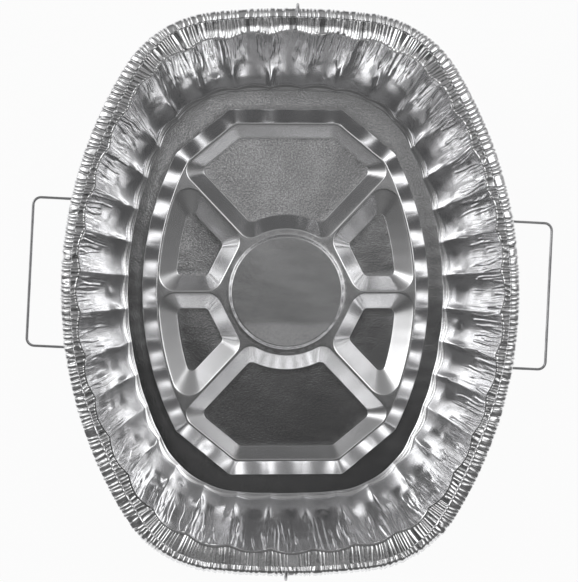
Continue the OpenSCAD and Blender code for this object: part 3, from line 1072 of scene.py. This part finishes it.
@dataclass
class FlutedWall:
    """The wall: gathered into flutes, with the buckles and wrinkles of deep pressing."""

    pan: RoastingPan
    columns: int = 2592
    seed: int = 11
    halves: tuple[str, str] = ("foil_wall_right", "foil_wall_left")
    foot_rows: tuple[tuple[float, float, float], ...] = (
        (-1.9, 0.0, 0.5),
        (-1.6, 0.12, 0.8),
        (-1.1, 0.9, 1.2),
        (-0.7, 1.6, 1.5),
        (-0.2, 1.9, 1.9),
        (0.8, 2.05, 2.3),
        (1.3, 2.3, 2.4),
        (1.6, 2.9, 2.5),
        (2.0, 4.2, 2.6),
    )
    upper_rows: int = 25
    lean: float = 33.5
    belly: float = 0.25
    belly_height: float = 0.36
    uneven: float = 0.2
    dents: tuple[tuple[float, tuple[int, int], int, float, float], ...] = (
        (0.24, (108, 7), 21, 0.0, 0.12),
        (0.14, (252, 12), 22, 0.03, 0.2),
    )
    wrinkles: tuple[tuple[tuple[int, int], float, tuple[float, float], tuple[float, float]], ...] = (
        ((1, 3), 0.4, (0.045, 0.08), (0.35, 0.9)),
        ((8, 14), 0.48, (0.016, 0.03), (0.12, 0.42)),
    )
    folds: tuple[int, int] = (5, 10)
    buckled: float = 0.25
    kinked: float = 0.85

    def bowed(self, share: Union[float, np.ndarray]) -> Union[float, np.ndarray]:
        """How far out the wall is at a share of its height, with its belly."""
        return share * (1 + self.belly * (1 - share))

    def rises(self) -> np.ndarray:
        """The upper rows' heights as shares of the wall, closer together near the foot."""
        start = self.foot_rows[-1][1] / (self.pan.mouth_z - self.pan.floor_z)
        share = np.linspace(0.0, 1.0, self.upper_rows + 1)[1:]
        return start + (1 - start) * share**1.1

    def plain(self) -> tuple[np.ndarray, np.ndarray, np.ndarray, np.ndarray]:
        """The wall before its flutes.

        Returns:
            Its points, the ways they face, their heights as shares, and the foot's own flutes.
        """
        floor, _ = self.pan.floor.places(self.columns)
        mouth, faces = self.pan.mouth.places(self.columns)
        height = self.pan.mouth_z - self.pan.floor_z
        rows, shares, depths = [], [], []
        for out, z, depth in self.foot_rows:
            at = floor + faces * out
            rows.append(raised(at, self.pan.floor_z + z))
            shares.append(z / height)
            depths.append(depth)
        out, z, _ = self.foot_rows[-1]
        start = z / height
        for h in self.rises():
            lift = (1 - h) / (1 - start)
            at = floor + (mouth - floor) * self.bowed(h)
            at = at + faces * (out - self.lean * self.bowed(start)) * lift
            rows.append(raised(at, self.pan.floor_z + h * height))
            shares.append(h)
            depths.append(-1.0)
        outward = raised(faces, 0.0)
        points = np.stack(rows)
        return points, np.broadcast_to(outward, points.shape), np.array(shares), np.array(depths)

    def creases(self, shares: np.ndarray) -> np.ndarray:
        """Wrinkles, folds, kinks and buckles of each column and row, outward, in millimetres."""
        random = Random(self.seed)
        turn = np.arange(self.columns) / self.columns
        h = shares[:, None]
        total = np.zeros((len(shares), self.columns))
        for height, cells, seed, low, over in self.dents:
            total += height * ring_noise(turn, shares, cells, seed) * np.clip((h - low) / over, 0, 1)
        for k in range(self.pan.flutes):
            for counts, spread, widths, depths in self.wrinkles:
                for _ in range(random.randint(*counts)):
                    at = k + random.uniform(-spread, spread)
                    width, depth = random.uniform(*widths), random.uniform(*depths)
                    self.wrinkle(total, h, at, width, depth, random)
            for _ in range(random.randint(*self.folds)):
                self.fold(total, h, k + random.uniform(-0.45, 0.45), random)
            if random.uniform() < self.buckled:
                self.buckle(total, h, k + random.uniform(-0.12, 0.12), random)
            if random.uniform() < self.kinked:
                self.kink(total, h, k + 0.5 + random.uniform(-0.06, 0.06), random)
        return total

    def near(self, at: float) -> tuple[np.ndarray, np.ndarray]:
        """The columns within a flute of a place round the wall, and how far off each is, in flutes."""
        pitch = self.columns / self.pan.flutes
        columns = np.arange(int((at - 1) * pitch), int((at + 1) * pitch))
        return columns % self.columns, columns[None, :] / pitch - at

    def wrinkle(
        self, total: np.ndarray, h: np.ndarray, at: float, width: float, depth: float, random: Random
    ) -> None:
        """Adds one wrinkle that runs down from the mouth and fades out."""
        columns, across = self.near(at)
        start, slant = random.uniform(0.25, 0.75), random.uniform(-0.2, 0.2)
        bend, phase = random.uniform(0.0, 0.03), random.uniform(0, 6.28)
        sign = 1 if random.uniform() < 0.4 else -1
        grown = eased((h - start) / 0.14) * (1 - 0.55 * np.clip((h - 0.93) / 0.07, 0, 1))
        off = (across - slant * (1 - h) - bend * np.sin(9 * h + phase)) / width
        across_it = np.exp(-(off**2)) - 0.5 * np.exp(-((off / 2.4) ** 2))
        total[:, columns] += sign * depth * grown * across_it

    def fold(self, total: np.ndarray, h: np.ndarray, at: float, random: Random) -> None:
        """Adds one raised fold like a thin finger, which hangs from the mouth and ends round."""
        columns, across = self.near(at)
        width, depth = random.uniform(0.026, 0.046), random.uniform(0.25, 0.75)
        end, slant = random.uniform(0.40, 0.82), random.uniform(-0.22, 0.22)
        bend, phase = random.uniform(0.0, 0.035), random.uniform(0, 6.28)
        off = (across - slant * (1 - h) - bend * np.sin(11 * h + phase)) / width
        past = np.clip((end + 0.05 - h) / 0.05, 0, None)
        reach = np.sqrt(off**2 + past**2)
        side = eased((1.0 - reach) / 0.55)
        fade = 1 - 0.5 * np.clip((h - 0.94) / 0.06, 0, 1)
        depth *= 1 - 0.4 * max(math.sin(2 * math.pi * at / self.pan.flutes), 0.0)
        total[:, columns] -= depth * fade * side

    def kink(self, total: np.ndarray, h: np.ndarray, at: float, random: Random) -> None:
        """Adds one place where the ridge between two flutes bulges inward, with a sloping top."""
        columns, across = self.near(at)
        height, depth = random.uniform(0.2, 0.38), random.uniform(1.3, 2.8)
        wide, slant = random.uniform(0.07, 0.12), random.uniform(-0.25, 0.25)
        off = (across - slant * (h - height)) / wide
        up = (h - height) / random.uniform(0.07, 0.11)
        tall = np.where(up < 0, np.exp(-((up * 0.7) ** 2)), np.exp(-(up**2)))
        total[:, columns] -= depth * tall * np.exp(-(off**2))

    def buckle(self, total: np.ndarray, h: np.ndarray, at: float, random: Random) -> None:
        """Adds one crescent dent low in a flute, with a gentle lower and a sharp upper side."""
        columns, across = self.near(at)
        height, depth = random.uniform(0.12, 0.26), random.uniform(0.8, 1.7)
        off = across / random.uniform(0.10, 0.2)
        crest = height + 0.02 * off**2
        below = np.exp(-(((h - crest) / 0.075) ** 2))
        above = np.exp(-(((h - crest) / 0.03) ** 2))
        total[:, columns] -= depth * np.where(h < crest, below, above) * np.exp(-(off**2))

    def press(self, material: bpy.types.Material, points: np.ndarray, lanes: Lanes) -> np.ndarray:
        """Presses the flutes into the plain wall with Geometry Nodes."""
        settings = {
            "Belly Depth": self.pan.flute_belly,
            "Mouth Depth": self.pan.flute_mouth,
            "Foot Depth": self.foot_rows[-1][2],
            "Belly Height": self.belly_height,
            "Uneven": self.uneven,
            "Seed": self.seed,
            "Material": material,
        }
        press, graph, given = new_press("flute_press", settings)
        turn, rise, foot = lane(graph, "flute"), lane(graph, "rise"), lane(graph, "foot")
        belly = given["Belly Height"]
        low = (rise / belly).clamped()
        high = ((rise - belly) / (1 - belly)).clamped()
        shape = given["Foot Depth"] + (given["Belly Depth"] - given["Foot Depth"]) * low
        shape = shape + (given["Mouth Depth"] - given["Belly Depth"]) * high
        at_foot = graph.math("GREATER_THAN", foot, 0.0)
        depth = foot * at_foot + shape * (1 - at_foot)
        which = graph.math("ROUND", turn)
        which = which - graph.math("FLOOR", which / (self.pan.flutes - 0.5)) * float(self.pan.flutes)
        own = 1 + chance(graph, -1.0, 1.0, which, given["Seed"], 0) * given["Uneven"] * (1 - high)
        wave = graph.math("COSINE", turn * math.pi)
        lobe = graph.math("SQRT", wave * wave + self.pan.ridge_round)
        out = (depth * lobe * own + lane(graph, "crease")) * MM
        offset = graph.vector("SCALE", {0: lane(graph, "out", "FLOAT_VECTOR"), "Scale": out})
        moved = graph.add("GeometryNodeSetPosition", {}, {"Geometry": given["Geometry"], "Offset": offset})
        end_press(graph, moved, given["Material"])
        return press.run("plain_wall", points, lanes, settings)

    def build(self, material: bpy.types.Material) -> list[bpy.types.Object]:
        """Makes the wall from the floor's edge to the mouth, in two halves."""
        points, outward, shares, depths = self.plain()
        ones = np.ones(points.shape[:2])
        flute = np.arange(self.columns) * self.pan.flutes / self.columns
        lanes = {
            "flute": ones * flute,
            "rise": ones * shares[:, None],
            "foot": ones * depths[:, None],
            "crease": self.creases(shares) * np.clip(shares / 0.05, 0, 1)[:, None],
            "out": outward,
        }
        pressed, lay = self.press(material, points, lanes), self.pan.lay(points)
        first = self.columns * 3 // 4 + self.columns // self.pan.flutes // 2
        half = np.arange(self.columns // 2 + 1)
        return [
            strip(name, pressed, lay, (half + start) % self.columns, self.pan.foil)
            for name, start in zip(self.halves, (first, first + self.columns // 2))
        ]


@dataclass
class CrimpedRim:
    """The step at the mouth, the flange with its pleats, and the rolled edge with its cells."""

    pan: RoastingPan
    columns: int = 3600
    pleats: int = 400
    seed: int = 5
    bead: float = 8.0
    corner_spread: float = 0.4
    ledge: float = 1.2
    stretch: float = 0.25
    bands: tuple[str, str] = ("foil_flange", "foil_curl")
    side_levels: tuple[float, float, float] = (0.15, 0.15, 0.10)
    back_levels: tuple[float, float, float] = (0.05, 0.0, 1.10)
    front_levels: tuple[float, float, float] = (-0.30, 0.23, 0.90)
    front_calm: float = 0.85
    bead_rows: tuple[tuple[float, float, float, float], ...] = (
        (0.2, 0.70, 0.88, 0.64),
        (0.5, 1.18, 0.92, 0.67),
        (1.4, 1.06, 1.04, 0.70),
        (3.3, 0.74, 1.30, 0.74),
        (5.2, 0.40, 1.52, 0.78),
        (5.8, 0.05, 1.00, 0.82),
        (6.7, -0.45, 0.10, 0.85),
        (7.5, -0.95, -0.80, 0.88),
        (7.92, -1.5, -1.5, 0.90),
    )
    under_turns: tuple[float, ...] = (-8.0, -50.0, -100.0)
    lip_rows: tuple[tuple[float, float, float], ...] = (
        (-0.06, -0.12, 0.0),
        (0.3, 0.27, 0.02),
        (0.75, 0.76, 0.04),
    )
    flange_shares: tuple[float, ...] = (0.0, 0.09, 0.17, 0.25, 0.33, 0.41, 0.55, 0.70, 0.85, 1.0)
    flange_break: float = 0.41
    fold_band: float = 0.625
    end_start: float = 186.0
    end_fade: float = 26.0
    corner_start: float = 60.0
    corner_rise: float = 70.0
    corner_end: float = 216.0
    corner_fall: float = 30.0
    hook_dent: float = 0.6
    hook_width: float = 5.0
    hook_calm: float = 0.8
    hook_calm_width: float = 3.5
    curl_gather: float = 0.4
    pleat_depth: float = 0.52
    notch_depth: float = 0.55
    crumple_depth: float = 0.14
    crumple_scale: float = 420.0
    drift: float = 5.0
    drift_scale: float = 60.0
    fewer_cells: float = 0.2
    cell_shift: float = 0.37
    notch_width: float = 0.12
    notch_rest: float = 0.8
    fin_curve: tuple[tuple[float, float], ...] = (
        (0.0, 0.0), (0.05, 0.05), (0.09, 0.7), (0.14, 1.0), (0.58, 1.0), (0.64, 0.3), (0.78, 0.3),
        (0.86, 0.9), (1.0, 0.2),
    )
    cell_curve: tuple[tuple[float, float], ...] = (
        (0.0, 0.0), (0.06, 0.1), (0.12, 0.48), (0.58, 0.48), (0.66, 0.95), (0.78, 0.9), (0.81, 0.6),
        (0.88, 1.0), (1.0, 0.2),
    )

    def towards(self, along: np.ndarray) -> np.ndarray:
        """0 along the sides of the pan, rising to 1 at an end."""
        return np.clip((along - self.end_start) / self.end_fade, 0.0, 1.0)

    def plain(self) -> tuple[np.ndarray, np.ndarray]:
        """The rim before its pleats.

        Returns:
            Its points, as rows of columns, and each row's place across the rim from 0 to 1.
        """
        mouth, faces = self.pan.mouth.places(self.columns)
        rim, out = self.pan.rim.places(self.columns)
        lobes = self.pan.lobes(self.columns)
        base = self.pan.mouth_z
        reach = np.abs(rim[:, 1])
        corner = np.clip((reach - self.corner_start) / self.corner_rise, 0, 1)
        corner = corner * np.clip((self.corner_end - reach) / self.corner_fall, 0, 1)
        spread = (1 + self.corner_spread * corner)[:, None]
        edge = rim - out * self.bead * spread
        lip = self.facing(mouth + faces * (self.pan.flute_mouth * lobes)[:, None])
        wide = np.linalg.norm(edge - lip, axis=1)
        back = self.towards(rim[:, 1])[:, None]
        front = self.towards(-rim[:, 1])[:, None]
        side = 1 - back - front
        levels = side * self.side_levels + back * self.back_levels + front * self.front_levels
        rows, bands = [], []

        def row(at: np.ndarray, z: Union[float, np.ndarray], band: float) -> None:
            """Adds one row."""
            rows.append(raised(at, z))
            bands.append(band)

        for inset, lift, band in self.lip_rows:
            z = base + levels[:, 0] + lift * (front[:, 0] + 0.04)
            row(lip + (edge - lip) * (inset / wide)[:, None], z, band)
        for share in self.flange_shares:
            start = (self.ledge / wide)[:, None]
            at = lip + (edge - lip) * (start + (1 - start) * share)
            first = levels[:, 0] + (levels[:, 1] - levels[:, 0]) * min(share / self.flange_break, 1.0)
            past = max((share - self.flange_break) / (1 - self.flange_break), 0.0)
            z = first + (levels[:, 2] - levels[:, 1]) * past
            row(at, base + z, 0.06 + 0.55 * share)
        pressed = self.hook_dent * np.exp(-((rim[:, 0] / self.hook_width) ** 2)) * front[:, 0]
        for inset, rise, front_rise, band in self.bead_rows:
            z = base + rise + (front_rise - rise) * front[:, 0]
            row(edge + out * inset * spread, z - pressed * (front_rise > 0.8), band)
        radius = self.pan.curl_radius
        for k, degrees in enumerate(self.under_turns):
            turn = math.radians(degrees)
            at = rim - out * (radius * (1 - math.cos(turn)))
            z = self.pan.rim_z - radius + radius * math.sin(turn)
            row(at, z, 0.92 + 0.08 * k / (len(self.under_turns) - 1))
        return np.stack(rows), np.array(bands)

    def press(self, material: bpy.types.Material, points: np.ndarray, lanes: Lanes) -> np.ndarray:
        """Presses pleats, cells and a little crumple into the plain rim with Geometry Nodes."""
        settings = {
            "Pleats": float(self.pleats),
            "Pleat Depth": self.pleat_depth,
            "Notch Depth": self.notch_depth,
            "Crumple Depth": self.crumple_depth,
            "Crumple Scale": self.crumple_scale,
            "Seed": self.seed,
            "Material": material,
        }
        press, graph, given = new_press("pleat_press", settings)
        band = lane(graph, "band")
        drum = lane(graph, "drum", "FLOAT_VECTOR")
        drift = graph.noise(drum, self.drift_scale, 2.0, 0.5) - 0.5
        rolled = graph.math("GREATER_THAN", band, self.fold_band)
        count = lane(graph, "turn") * given["Pleats"] * (1 - rolled * self.fewer_cells)
        count = count + drift * self.drift + rolled * self.cell_shift
        which = graph.math("FLOOR", count)
        phase = count - which
        seed = given["Seed"]
        peak = chance(graph, 0.32, 0.68, which, seed, 1)
        tall = chance(graph, 0.1, 1.6, which, seed, 2)
        ridge = graph.math("MINIMUM", phase / peak, (1 - phase) / (1 - peak))
        near = graph.math("MINIMUM", phase, 1 - phase) / self.notch_width
        notch = 1 - graph.math("EXPONENT", near * near * -1.0)
        fin = graph.curve(band, self.fin_curve)
        cell = graph.curve(band, self.cell_curve)
        crumple = graph.noise(drum, given["Crumple Scale"], 3.0, 0.65) - 0.5
        up = (ridge * tall - 0.5) * fin * given["Pleat Depth"]
        up = up + (notch - self.notch_rest) * cell * given["Notch Depth"]
        up = (up + crumple * (fin + cell) * given["Crumple Depth"] * 2.0) * lane(graph, "gather")
        normal = graph.add("GeometryNodeInputNormal")
        offset = graph.vector("SCALE", {0: normal, "Scale": up * MM})
        moved = graph.add("GeometryNodeSetPosition", {}, {"Geometry": given["Geometry"], "Offset": offset})
        end_press(graph, moved, given["Material"])
        return press.run("plain_rim", points, lanes, settings)

    def facing(self, line: np.ndarray) -> np.ndarray:
        """The points of a closed line within the rim that lie straight in from its columns."""
        rim, faces = self.pan.rim.places(self.columns)
        along = np.stack([-faces[:, 1], faces[:, 0]], 1)
        step = np.linalg.norm(np.roll(rim, -1, axis=0) - rim, axis=1).mean()
        column = np.arange(self.columns)
        nearest = np.full(self.columns, np.inf)
        places = np.zeros(self.columns)
        for shift in range(-160, 161, 2):
            there = (column + shift) % self.columns
            gap = line - rim[there]
            far = np.linalg.norm(gap, axis=1)
            place = column + shift + (gap * along[there]).sum(1) / step
            places = np.where(far < nearest, place, places)
            nearest = np.minimum(far, nearest)
        order = np.argsort(places % self.columns)
        known = (places % self.columns)[order]
        return np.stack(
            [np.interp(column, known, line[order, axis], period=self.columns) for axis in (0, 1)], 1
        )

    def build(self, material: bpy.types.Material) -> list[bpy.types.Object]:
        """Makes the flange and the rolled edge, from the mouth to the tip of the roll."""
        points, bands = self.plain()
        ones = np.ones(points.shape[:2])
        front = self.towards(-points[..., 1])
        flange = (bands < self.fold_band)[:, None]
        hook = np.exp(-((points[..., 0] / self.hook_calm_width) ** 2))
        left_flat = front * np.where(flange, self.front_calm, -self.curl_gather)
        drum = self.pan.lay(points)
        drum[..., 2] *= self.stretch
        lanes = {
            "band": ones * bands[:, None],
            "turn": ones * (np.arange(self.columns) + 0.5) / self.columns,
            "gather": (1 - left_flat) * (1 - self.hook_calm * hook),
            "drum": drum,
        }
        pressed, lay = self.press(material, points, lanes), self.pan.lay(points)
        fold = int(np.flatnonzero(flange)[-1])
        every = np.arange(self.columns)
        return [
            strip(name, pressed[rows], lay[rows], every, self.pan.foil)
            for name, rows in zip(self.bands, (slice(0, fold + 1), slice(fold, None)))
        ]


# Studio


@dataclass(frozen=True)
class Lamp:
    """A soft light in the tent, seen straight from below: its place, its size and its level."""

    x: float
    y: float
    wide: float
    tall: float
    level: float

    def glow(self, graph: Graph, x: Signal, y: Signal) -> Signal:
        """How much light comes from each direction."""
        across, along = (x - self.x) / self.wide, (y - self.y) / self.tall
        return graph.math("EXPONENT", (across * across + along * along) * -1.0) * self.level


@dataclass
class Studio:
    """The camera, the white floor and the soft light round the pan."""

    image: tuple[int, int] = (578, 582)
    lens_pixels: float = 1828.0
    camera_at: tuple[float, float, float] = (-0.0874, 0.0008, 1.554)
    aim: tuple[float, float, float] = (-0.0024, 0.0008, 0.08825)
    glow: float = 0.95
    shaded: tuple[float, float] = (0.185, 0.2285)
    shaded_from: float = 0.8
    painted_shade_glow: float = 0.15
    floor_half: float = 4.0
    floor_drop: float = 0.0005
    low_light: float = 1.1
    low_edges: tuple[float, float] = (0.02, 0.14)
    low_tilt: float = 0.12
    low_fall: float = 0.6
    overhead_spread: float = 5.0
    overhead_edges: tuple[float, float] = (0.2, 0.36)
    ground_edges: tuple[float, float] = (-0.05, 0.05)
    ground_level: float = 0.5
    overhead: tuple[tuple[float, float], ...] = (
        (-0.6, 0.05), (-0.33, 0.052), (-0.11, 0.105), (0.11, 0.145), (0.27, 0.46), (0.42, 0.47),
        (0.56, 0.13), (0.77, 0.12), (0.95, 0.27),
    )
    across: tuple[tuple[float, float], ...] = (
        (-0.25, 0.25), (-0.1, 0.30), (0.03, 1.7), (0.15, 1.15), (0.3, 0.9), (0.55, 0.6), (0.75, 0.35),
    )
    around: tuple[tuple[float, float], ...] = (
        (-0.8, 0.20), (-0.7, 0.15), (-0.6, 0.11), (-0.4, 0.10), (-0.2, 0.13), (0.0, 0.17), (0.3, 0.22),
        (0.5, 0.28), (0.75, 0.26), (0.95, 0.12),
    )
    lamps: tuple[Lamp, ...] = (
        Lamp(0.52, 0.25, 0.22, 0.21, 2.0),
        Lamp(-0.60, 0.27, 0.27, 0.21, 2.3),
        Lamp(0.43, 0.09, 0.13, 0.11, 0.75),
        Lamp(-0.43, 0.09, 0.13, 0.11, 0.75),
    )

    def camera(self) -> None:
        """Sets the camera where the photograph was taken from."""
        data = bpy.data.cameras.new("photo_camera")
        data.sensor_fit = "HORIZONTAL"
        data.sensor_width = 36.0
        data.lens = self.lens_pixels * data.sensor_width / self.image[0]
        data.clip_start, data.clip_end = 0.01, 50.0
        data.dof.use_dof = False
        camera = new_object("photo_camera", data)
        camera.location = self.camera_at
        look = Vector(self.aim) - Vector(self.camera_at)
        camera.rotation_euler = (0.0, -math.atan2(look.x, -look.z), 0.0)
        bpy.context.scene.camera = camera

    def floor(self) -> None:
        """Lays a white floor that keeps the pan's real shadow, with a painted shade under the rim's
        overhang.
        """
        material, graph = new_material("white_floor")
        rays = ("Is Camera Ray", "Is Glossy Ray", "Is Transmission Ray")
        path = [graph.add("ShaderNodeLightPath", {}, {}, name) for name in rays]
        seen = (path[0] + path[1] + path[2]).clamped()
        at = graph.coordinates("Object")
        x, y = (graph.axis(at, name) for name in "XY")
        across, along = x / self.shaded[0], y / self.shaded[1]
        # Painted shade: the floor's white glow is turned down in an oval under the pan, so the floor there
        # is darker, and its real shadow also shows.
        out = graph.math("SQRT", across * across + along * along).ramp(self.shaded_from, 1.0)
        glow = out * (self.glow - self.painted_shade_glow) + self.painted_shade_glow
        plain = graph.add("ShaderNodeBsdfDiffuse", {}, {"Color": (0.9, 0.9, 0.9, 1.0)})
        white = graph.add("ShaderNodeEmission", {}, {"Color": (1.0, 1.0, 1.0, 1.0), "Strength": 1.0})
        mixed = graph.add("ShaderNodeMixShader", {}, {0: seen * glow, 1: plain, 2: white})
        graph.add("ShaderNodeOutputMaterial", {}, {"Surface": mixed})
        mesh = bpy.data.meshes.new("floor")
        half, drop = self.floor_half, self.floor_drop
        corners = [(half * sx, half * sy, -drop) for sx, sy in ((-1, -1), (1, -1), (1, 1), (-1, 1))]
        mesh.from_pydata(corners, [], [(0, 1, 2, 3)])
        mesh.materials.append(material)
        plane = new_object("floor", mesh)

    def light(self) -> None:
        """Lights the pan with a soft tent: dim overhead, brighter boxes at both sides."""
        world = bpy.data.worlds.new("studio")
        bpy.context.scene.world = world
        world.use_nodes = True
        world.node_tree.nodes.clear()
        graph = Graph(world.node_tree)
        way = graph.coordinates("Generated")
        x, y, z = (graph.axis(way, name) for name in "XYZ")
        reach = graph.math("SQRT", x * x + y * y)
        overhead = self.tent(graph, y * self.overhead_spread, self.overhead)
        overhead = overhead * self.tent(graph, x * self.overhead_spread, self.across)
        around = self.tent(graph, y, self.around)
        level = overhead + (around - overhead) * reach.ramp(*self.overhead_edges)
        for lamp in self.lamps:
            level = level + lamp.glow(graph, x, y)
        low = 1 - (z - abs(x) * self.low_tilt).ramp(*self.low_edges)
        level = level + low * (1 - abs(x) * self.low_fall) * self.low_light
        ground = z.ramp(*self.ground_edges)
        shade = level * ground + (1 - ground) * self.ground_level
        back = graph.add("ShaderNodeBackground", {}, {"Color": shade, "Strength": 1.0})
        graph.add("ShaderNodeOutputWorld", {}, {"Surface": back})

    def tent(self, graph: Graph, way: Signal, stops: Sequence[tuple[float, float]]) -> Signal:
        """How bright a part of the tent is, from its front at -1 to its back at 1."""
        return graph.add(
            "ShaderNodeValToRGB",
            {"stops": [((place + 1) / 2, level) for place, level in stops]},
            {"Fac": way * 0.5 + 0.5},
            "Color",
        )

    def build(self) -> None:
        """Sets up the view and everything round the pan."""
        self.camera()
        self.floor()
        self.light()
        bpy.context.scene.view_settings.view_transform = "Standard"


@dataclass
class WireCradle:
    """The two bent wires, which stay as the CAD model has them."""

    finish: WireFinish = WireFinish()

    def dress(self) -> None:
        """Gives both wires their drawn steel."""
        material = self.finish.material()
        for part in (Part.HANDLES, Part.HOOKS):
            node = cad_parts[part.value]
            if not node.material_slots:
                node.data.materials.append(material)
            for slot in node.material_slots:
                slot.material = material
            LOG.info("%s is dressed", part.value)


def main() -> None:
    """Builds the studio, the pan and its cradle in order."""
    logging.basicConfig(level=logging.INFO, format="%(name)s: %(message)s")
    Studio().build()
    pan = RoastingPan()
    grained = FoilFinish("pressed_foil").material()
    drawn = FoilFinish(
        "fluted_foil", roughness=0.13, grain_height=0.00001, crumple_height=0.00008,
        streak_height=0.00004,
    ).material()
    crimped = FoilFinish(
        "crimped_foil", roughness=0.16, grain_scale=700.0, grain_height=0.00003,
        crumple_scale=420.0, crumple_height=0.00006, streak_height=0.00010,
    ).material()
    pan.dress(PressedFloor(pan).build(), grained)
    for piece in FlutedWall(pan).build(drawn):
        pan.dress(piece, drawn)
    for piece in CrimpedRim(pan).build(crimped):
        pan.dress(piece, crimped)
    WireCradle().dress()


if __name__ == "__main__":
    main()
